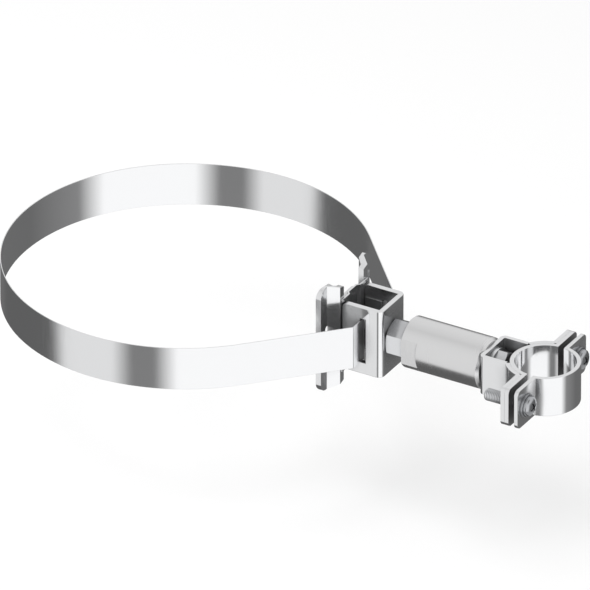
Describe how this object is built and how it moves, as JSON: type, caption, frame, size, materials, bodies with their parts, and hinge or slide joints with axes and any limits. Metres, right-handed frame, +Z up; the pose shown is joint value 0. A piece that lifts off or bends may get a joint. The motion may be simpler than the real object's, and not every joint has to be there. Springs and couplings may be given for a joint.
{
  "type": "band clamp with spacer and pipe clip",
  "caption": "Pole band clamp: steel band with tension box and curved saddle, a round spacer, and a two-part pipe clip held parallel to the pole.",
  "frame": {"origin": "on the axis of the clamped pole, at the middle of the band's width", "axes": "+Z up along the pole, +X from the pole along the spacer to the pipe clip, +Y across, away from the viewer of the picture"},
  "size_m": [0.3374, 0.1984, 0.0624],
  "materials": {
    "polished_sheet": "mirror polished stainless sheet",
    "turned_bar": "fine turned satin",
    "fastener": "bright rolled and machined"
  },
  "bodies": {
    "root": {"band": "polished_sheet", "tension_box": "polished_sheet", "saddle": "polished_sheet", "thrust_plate": "polished_sheet", "stud": "fastener", "inner_nut": "fastener", "lock_nut": "fastener", "spacer": "turned_bar", "rear_bracket": "polished_sheet", "bracket_bolt": "fastener", "bracket_washer": "fastener", "rear_shell": "polished_sheet", "front_shell": "polished_sheet", "near_clamp_screw": "fastener", "far_clamp_screw": "fastener", "near_screw_washer": "fastener", "far_screw_washer": "fastener"}
  },
  "joints": []
}
